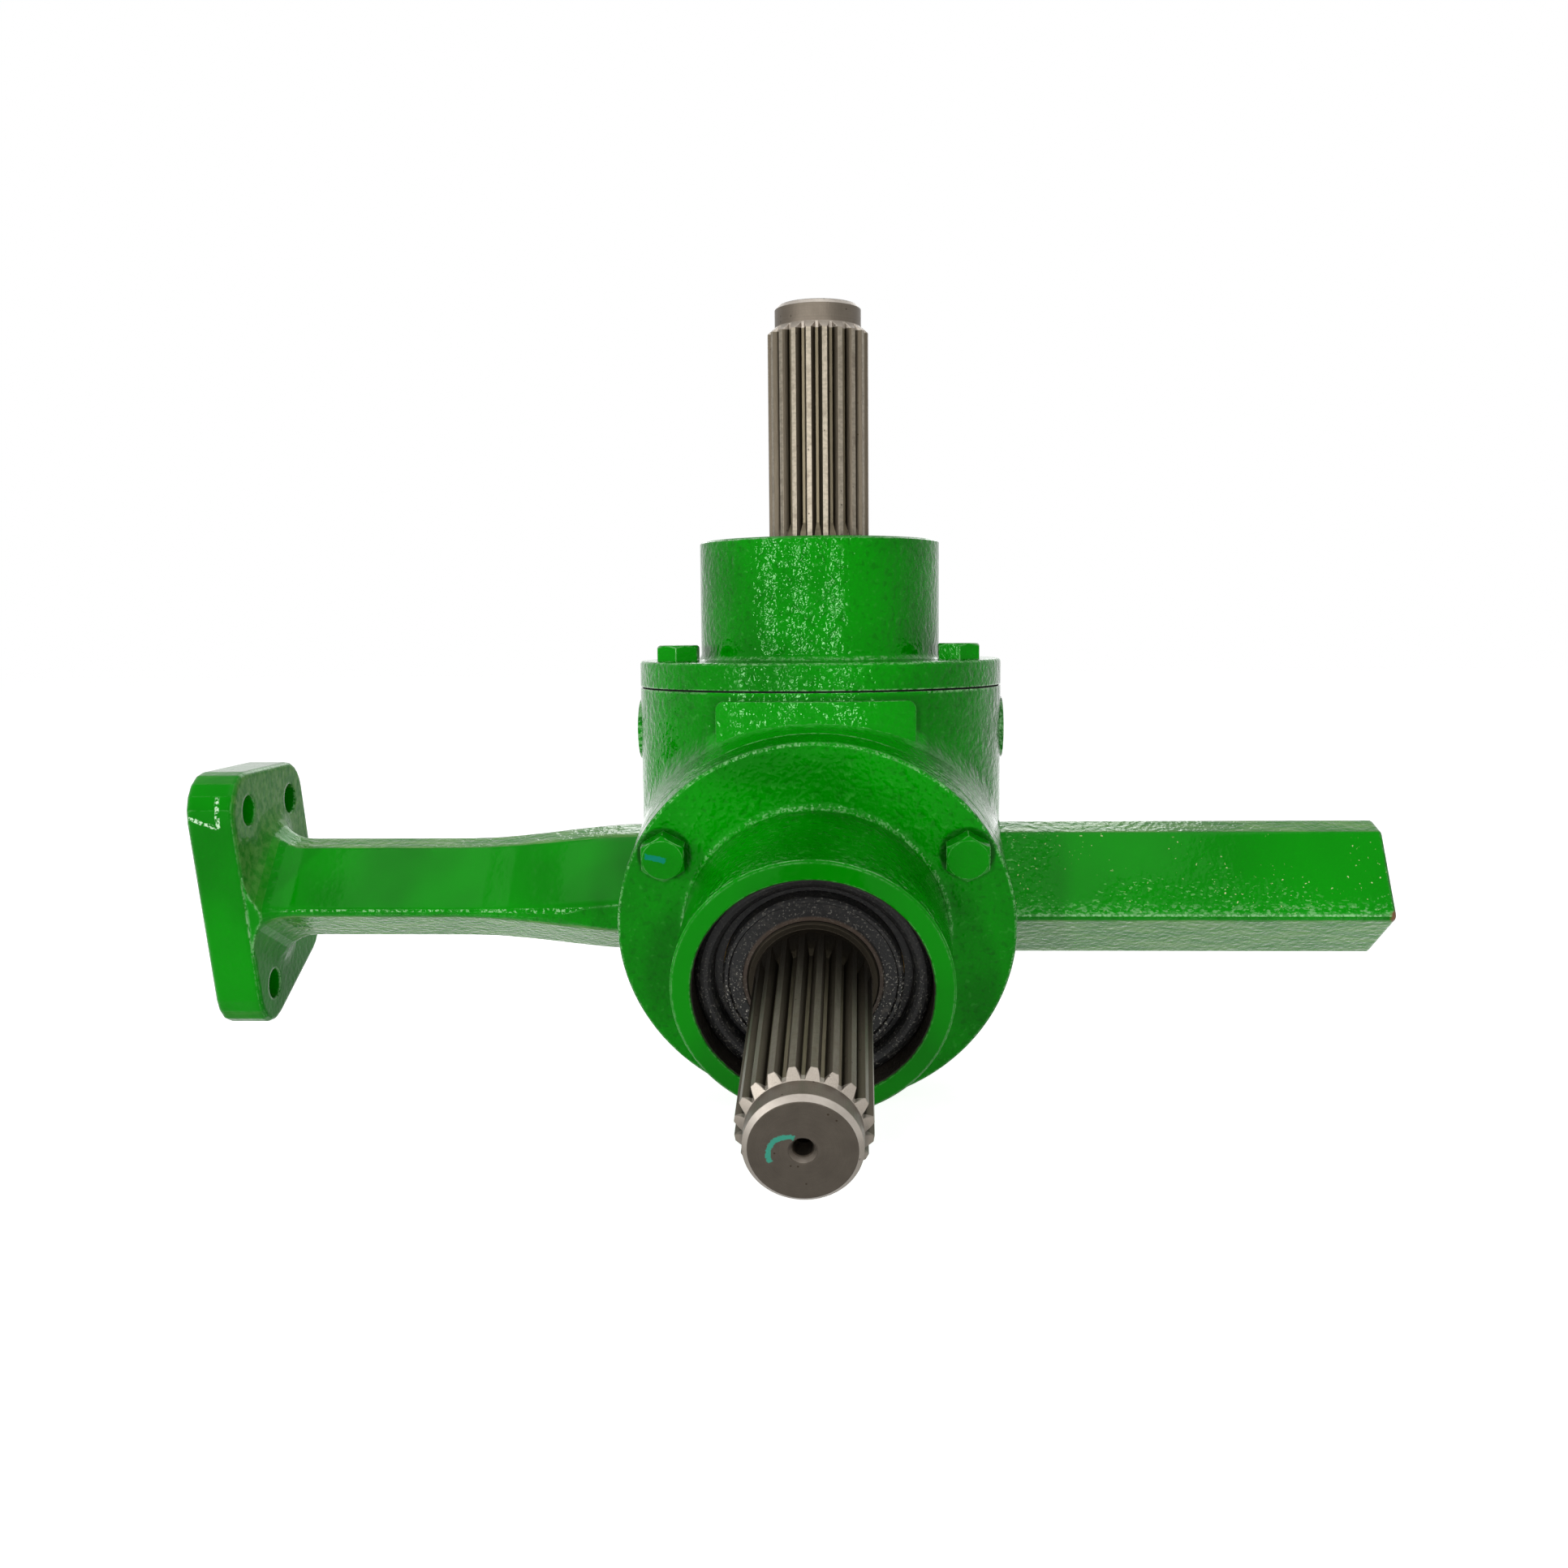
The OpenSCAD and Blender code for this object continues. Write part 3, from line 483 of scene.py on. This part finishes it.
def cover_paint(side):
    s = Shader("green_paint_" + side + "_cover")
    along, radius, u, v = s.round_axis(side)
    # The end of the hub is turned, and everything else is as cast
    turned = s.step(along, *HUB_END)
    keep = s.rest(s.times(turned, 0.9))
    cast = s.noise(370, 1.6, 0.5)
    waves = s.times(s.noise(70, 1, 0.4), 0.5)
    pebbles = s.times(cast, s.add(0.52, s.times(s.step(along, *FLANGE), 0.1)), keep)
    peel = s.times(s.noise(850, 1, 0.5), 0.05, keep)
    soft = s.rounded(COVER_EDGE_R)
    color = cast_color(s, s.blend(keep, 0.5, cast), soft, 0.9)
    color = rim_and_foot_highlights(s, along, radius, color)
    color = bolt_contact_shade(s, side, along, u, v, color)
    color = s.mix(s.times(turned, 0.55), color, GREEN_DEEP)
    # The bore is bare and dark, and the paint ends in a rough line at its edge
    bare = s.step(s.add(radius, s.wander(s.noise(420, 3, 0.7), 0.0012)), *BORE_R)
    color = s.mix(bare, color, BARE_BORE)
    roughness = s.add(s.times(bare, 0.3), wet_paint_roughness(s))
    return painted(s, color, roughness, s.bump(s.add(waves, pebbles, peel), soft))


def teal_stroke(s, along, u, v, color):
    """Stroke of teal marking paint across the head of the left front bolt."""
    centre_u, centre_v, tilt = -0.0625, 0.0352, -14
    half_length, half_width, head_top = (0.0044, 0.0038), (0.0013, 0.0009), (0.0925, 0.0932)
    run, rise = s.turned(s.minus(u, centre_u), s.minus(v, centre_v), tilt)
    ragged = s.wander(s.noise(900, 2, vector=s.combine(u, v, 0.0)), 0.0014)
    stroke = s.times(s.step(s.add(s.math("ABSOLUTE", run), ragged), *half_length),
                     s.step(s.add(s.math("ABSOLUTE", rise), ragged), *half_width),
                     s.step(along, *head_top))
    return s.mix(stroke, color, TEAL)


def bolt_paint(side):
    s = Shader("green_paint_" + side + "_bolts")
    along, _, u, v = s.round_axis(side)
    cast = s.noise(700, 1.5)
    soft = s.rounded(BOLT_EDGE_R)
    color = cast_color(s, s.blend(cast, 0.42, 0.58), soft, 0.7)
    if side == "front":
        color = teal_stroke(s, along, u, v, color)
    height = s.add(s.times(cast, 0.16), s.times(s.noise(150, 1), 0.25))
    return painted(s, color, s.add(0.1, s.times(s.noise(400, 2), 0.08)), s.bump(height, soft))


def plug_paint():
    s = Shader("green_paint_plugs")
    color = s.mix(s.step(s.noise(120, 2), 0.35, 0.7), GREEN, GREEN_DEEP)
    return painted(s, color, 0.16, s.bump(s.times(s.noise(700, 2), 0.12), s.rounded(PLUG_EDGE_R)))


# Places on a shaft: along its axis, and as radii from it
SEAL_FACE = 0.132
TOOTH_END = (0.2287, 0.2291)
TOOTH_END_R = (0.0188, 0.0191)
TOOTH_TOP_R = (0.0205, 0.0216)
ROOT_SHADE_R = (0.0196, 0.0210)
TIP_START = (0.2318, 0.2321)
TIP_BEVEL = (0.2394, 0.2397)
END_FACE = (0.24115, 0.24130)
# For each shaft: how bright its tooth tops are, and how far oil, dust and painted shade reach along it from
# the seal
TOOTH_BRIGHTNESS = {"front": 0.82, "top": 1.08}
OIL_AND_SHADE_REACH = {"front": 0.085, "top": 0.012}


def spline_color(s, side, radius, u, v, along, grain, blotch):
    """Tooth tops with cutter marks, groove floors of much the same grey, and flanks darkened by painted shade,
    darkest near the roots.
    """
    # How squarely the surface faces away from the axis: 1 on tooth tops and groove floors, less on the flanks
    up = SHAFT_AXES[side][1]
    square = s.math("DIVIDE", s.add(s.times(s.dot(s.normal, X), u), s.times(s.dot(s.normal, up), v)), radius)
    shaded_flank = s.step(square, 0.93, 0.8)
    bright = TOOTH_BRIGHTNESS[side]
    top = s.mix(grain, srgb(104, 97, 85, bright), srgb(150, 142, 128, bright))
    top = s.mix(s.times(s.step(blotch, 0.5, 0.7), 0.5), top, srgb(98, 88, 74))
    marks = s.noise(900, 1, 0.4, vector=s.combine(s.times(u, 0.5), s.times(v, 0.5), along))
    top = s.mix(s.times(s.step(marks, 0.42, 0.62), 0.3), top, srgb(92, 84, 72))
    groove = s.mix(grain, srgb(78, 71, 57), srgb(122, 113, 94))
    root_shade = s.mix(s.step(radius, *ROOT_SHADE_R), srgb(40, 35, 26), srgb(84, 77, 66))
    return s.mix(shaded_flank, s.mix(s.step(radius, *TOOTH_TOP_R), groove, top), root_shade)


def tip_colors(s, side, radius, v, along, grain, blotch, face, color):
    """Pale cut tooth ends, the turned tip with its pale bevel, and the darker end face."""
    # Painted shade: on the front shaft, the tooth ends and bevel below its middle are less bright
    top_lit_share = s.step(v, -0.002, 0.012, 0.35, 1.0) if side == "front" else 1.0
    fresh = s.times(s.step(along, *TOOTH_END), s.step(radius, *TOOTH_END_R), top_lit_share)
    color = s.mix(fresh, color, s.mix(grain, srgb(134, 126, 116), srgb(168, 160, 150)))
    rings = s.noise(1500, 2, 0.6, vector=s.combine(0.0, 0.0, along))
    tip_color = s.mix(s.add(s.times(rings, 0.5), s.times(blotch, 0.5)), srgb(80, 73, 65), srgb(116, 108, 97))
    color = s.mix(s.step(along, *TIP_START), color, tip_color)
    end_bevel = s.times(s.step(along, *TIP_BEVEL), top_lit_share)
    color = s.mix(end_bevel, color, s.mix(blotch, srgb(140, 133, 125), srgb(178, 171, 162)))
    turning = s.noise(2600, 2, 0.6, vector=s.combine(radius, 0.0, 0.0))
    face_color = s.mix(s.add(s.times(turning, 0.4), s.times(blotch, 0.6)), srgb(56, 51, 46), srgb(84, 78, 70))
    return s.mix(face, color, face_color)


def teal_arc(s, u, v, face):
    """Share of the arc of teal marking paint, left of the centre hole of the front shaft."""
    centre_u, centre_v, arc_r, middle = -0.0046, -0.00135, 0.0062, 139
    half_width, half_angle = (0.0010, 0.0006), (1.24, 1.14)
    du, dv = s.minus(u, centre_u), s.minus(v, centre_v)
    ragged = s.wander(s.noise(1100, 3), 0.0014)
    # Measured from the middle of the arc, so that it doesn't cross the place where the angle jumps
    turned_u, turned_v = s.turned(du, dv, middle)
    off_middle = s.math("ABSOLUTE", s.math("ARCTAN2", turned_v, turned_u))
    return s.times(s.step(s.add(s.apart(s.length(du, dv), arc_r), ragged), *half_width),
                   s.step(off_middle, *half_angle), face)


def shaft_steel(side):
    s = Shader("bare_steel_" + side)
    along, radius, u, v = s.round_axis(side)
    grain = s.noise(900, 3, 0.6, vector=s.combine(s.times(u, 3.0), s.times(v, 3.0), s.times(along, 0.12)))
    blotch = s.noise(160, 3, 0.6)
    face = s.step(along, *END_FACE)
    color = spline_color(s, side, radius, u, v, along, grain, blotch)
    color = tip_colors(s, side, radius, v, along, grain, blotch, face, color)
    color = s.mix(s.times(s.specks(420, 0.2, 0.1), 0.7), color, srgb(40, 30, 20))
    # Oil and dust, with painted shade, darken the shaft towards its seal
    oil_and_shade = s.step(s.add(along, s.wander(blotch, 0.02)), SEAL_FACE, SEAL_FACE + OIL_AND_SHADE_REACH[side], 0.8, 0.0)
    color = s.mix(oil_and_shade, color, srgb(24, 22, 17))
    metal = 1.0
    if side == "front":
        arc = teal_arc(s, u, v, face)
        color = s.mix(s.times(arc, 0.95), color, TEAL)
        metal = s.rest(arc)
    marks = s.add(s.times(grain, 0.05), s.times(s.noise(1400, 2), 0.03))
    roughness = s.add(0.34, s.times(grain, 0.22))
    return s.finish(color, roughness, s.bump(marks, s.rounded(STEEL_EDGE_R)), metallic=metal)


def plain_metal(name, color, roughness):
    s = Shader(name)
    streak = s.noise(700, 2, 0.5)
    tone = s.mix(streak, color, tuple(c * 0.7 for c in color[:3]) + (1.0,))
    return s.finish(tone, s.add(roughness, s.times(streak, 0.12)), s.bump(s.times(streak, 0.02)), metallic=1.0)


def seal_black(name, side, dust):
    s = Shader(name)
    _, radius, _, v = s.round_axis(side)
    smear = s.noise(240, 4, 0.65)
    # Dust lies on the lower half, and fine grit sticks to it
    low = s.step(v, 0.016, -0.012, 0.25, 1.0)
    grit = s.step(s.noise(1300, 1.5, 0.5), 0.60, 0.68)
    color = s.mix(s.times(s.step(smear, 0.50, 0.72), dust, low), srgb(18, 18, 18), srgb(70, 67, 62))
    color = s.mix(s.times(grit, low, dust), color, srgb(150, 147, 138))
    # Thin rusty ring where the sleeve meets the shaft
    rust = s.step(radius, 0.0268, 0.0262)
    color = s.mix(s.times(rust, 0.7), color, srgb(62, 50, 40))
    return s.finish(color, s.add(0.36, s.times(smear, 0.25)), s.bump(s.times(smear, 0.12)), specular=0.25)


def gasket_black():
    s = Shader("gasket_sheet")
    color = s.mix(s.noise(500, 2), rgb(0.004, 0.005, 0.004), rgb(0.012, 0.015, 0.012))
    return s.finish(color, 0.8, specular=0.1)


dress(["housing"], housing_paint())
dress(["filler_plug", "level_plug"], plug_paint())
gasket = gasket_black()
gear = plain_metal("gear_steel", srgb(150, 148, 145), 0.3)
bearing = plain_metal("bearing_steel", srgb(205, 205, 205), 0.16)
spring = plain_metal("spring_steel", srgb(70, 70, 74), 0.35)
brass = plain_metal("cage_brass", srgb(205, 165, 90), 0.3)
for side in SHAFT_AXES:
    dress([side + "_cover"], cover_paint(side))
    dress([side + "_cover_bolts"], bolt_paint(side))
    dress([side + "_shaft"], shaft_steel(side))
    dress([side + "_gasket"], gasket)
    dress([side + "_bevel_gear", side + "_gear_key", side + "_gear_nut"], gear)
    dress([side + "_shaft_clip", side + "_bore_clip"], spring)
    dress([side + "_seal_ring"], seal_black(side + "_seal_rubber", side, 0.35))
    dress([side + "_seal_sleeve"], seal_black(side + "_seal_sleeve_rubber", side, 1.0))
    for bearing_name in ("inner", "outer"):
        stem = side + "_" + bearing_name + "_bearing_"
        dress([stem + "outer_ring", stem + "inner_ring", stem + "balls"], bearing)
        dress([stem + "cage"], brass)


# Strength of the world's light on the object. For the camera and mirrored rays the world is plain white.
WORLD_LIGHT = 0.2
# The floor's own grey and glow add up to the same white
FLOOR_GREY = 0.8
FLOOR_GLOW = 0.84
FLOOR_HALF_SIZE = 6.0
FLOOR_GAP = 0.0006


def seen_share(tree):
    """A socket that is 1 for camera, glossy and transmission rays, and 0 for the rays that light things."""
    path = tree.nodes.new("ShaderNodeLightPath")
    seen = path.outputs["Is Camera Ray"]
    for name in ("Is Glossy Ray", "Is Transmission Ray"):
        n = tree.nodes.new("ShaderNodeMath")
        n.operation = "MAXIMUM"
        tree.links.new(seen, n.inputs[0])
        tree.links.new(path.outputs[name], n.inputs[1])
        seen = n.outputs[0]
    return seen


def make_floor():
    r, z = FLOOR_HALF_SIZE, cad_bounds[0].z - FLOOR_GAP
    mesh = bpy.data.meshes.new("floor")
    mesh.from_pydata([(-r, -r, z), (r, -r, z), (r, r, z), (-r, r, z)], [], [(0, 1, 2, 3)])
    floor = bpy.data.objects.new("floor", mesh)
    bpy.context.scene.collection.objects.link(floor)
    material = bpy.data.materials.new("floor_white")
    material.use_nodes = True
    tree = material.node_tree
    tree.nodes.clear()
    out = tree.nodes.new("ShaderNodeOutputMaterial")
    diffuse = tree.nodes.new("ShaderNodeBsdfDiffuse")
    diffuse.inputs["Color"].default_value = rgb(FLOOR_GREY, FLOOR_GREY, FLOOR_GREY)
    strength = tree.nodes.new("ShaderNodeMath")
    strength.operation = "MULTIPLY"
    tree.links.new(seen_share(tree), strength.inputs[0])
    strength.inputs[1].default_value = FLOOR_GLOW
    glow = tree.nodes.new("ShaderNodeEmission")
    tree.links.new(strength.outputs[0], glow.inputs["Strength"])
    both = tree.nodes.new("ShaderNodeAddShader")
    tree.links.new(diffuse.outputs[0], both.inputs[0])
    tree.links.new(glow.outputs[0], both.inputs[1])
    tree.links.new(both.outputs[0], out.inputs["Surface"])
    mesh.materials.append(material)


def make_world():
    world = bpy.data.worlds.new("studio")
    bpy.context.scene.world = world
    world.use_nodes = True
    tree = world.node_tree
    tree.nodes.clear()
    out = tree.nodes.new("ShaderNodeOutputWorld")
    background = tree.nodes.new("ShaderNodeBackground")
    background.inputs["Color"].default_value = rgb(1.0, 1.0, 1.0)
    strength = tree.nodes.new("ShaderNodeMapRange")
    tree.links.new(seen_share(tree), strength.inputs["Value"])
    strength.inputs["To Min"].default_value = WORLD_LIGHT
    strength.inputs["To Max"].default_value = 1.0
    tree.links.new(strength.outputs[0], background.inputs["Strength"])
    tree.links.new(background.outputs[0], out.inputs["Surface"])


def lamp(name, azimuth, elevation, distance, width, height, power):
    """Area lamp that looks at the gearbox. Azimuth 0 is in front (-Y), positive to the right."""
    light = bpy.data.lights.new(name, "AREA")
    light.shape = "RECTANGLE"
    light.size, light.size_y = width, height
    light.energy = power
    obj = bpy.data.objects.new(name, light)
    a, e = math.radians(azimuth), math.radians(elevation)
    back = Vector((math.sin(a) * math.cos(e), -math.cos(a) * math.cos(e), math.sin(e)))
    obj.location = CROSS + back * distance
    obj.rotation_euler = (-back).to_track_quat("-Z", "Y").to_euler()
    obj.visible_camera = False
    bpy.context.scene.collection.objects.link(obj)


# The camera that was solved from the photograph: its axes and centre in the frame, its focal length in pixels,
# and the width of the photograph
CAMERA_RIGHT = Vector((0.998701, 0.050156, -0.009030))
CAMERA_DOWN = Vector((-0.003839, -0.102652, -0.994710))
CAMERA_AHEAD = Vector((-0.050818, 0.993452, -0.102326))
CAMERA_FROM_CROSS = Vector((0.018211, -0.682977, 0.100780))
FOCAL_PIXELS = 1863.642
PHOTO_PIXELS = 1932
SENSOR_MM = 36


def make_camera():
    data = bpy.data.cameras.new("camera")
    data.sensor_fit = "HORIZONTAL"
    data.sensor_width = SENSOR_MM
    data.lens = FOCAL_PIXELS / PHOTO_PIXELS * SENSOR_MM
    data.clip_start, data.clip_end = 0.01, 50
    camera = bpy.data.objects.new("camera", data)
    turn = Matrix((CAMERA_RIGHT, -CAMERA_DOWN, -CAMERA_AHEAD)).transposed()
    camera.matrix_world = Matrix.Translation(CROSS + CAMERA_FROM_CROSS) @ turn.to_4x4()
    bpy.context.scene.collection.objects.link(camera)
    bpy.context.scene.camera = camera


make_floor()
make_world()
# The strips in front leave bright flecks on the rough paint, and the soft lamps light the top and the back
for name, azimuth in (("strip_left", -46), ("strip_middle", -17), ("strip_right", 14)):
    lamp(name, azimuth, elevation=6, distance=1.5, width=0.1, height=0.32, power=5.6)
lamp("soft_top", -10, elevation=78, distance=1.6, width=1.4, height=1.4, power=9)
lamp("soft_back", 180, elevation=30, distance=1.8, width=1.0, height=1.0, power=9)
make_camera()
bpy.context.scene.view_settings.view_transform = "Standard"
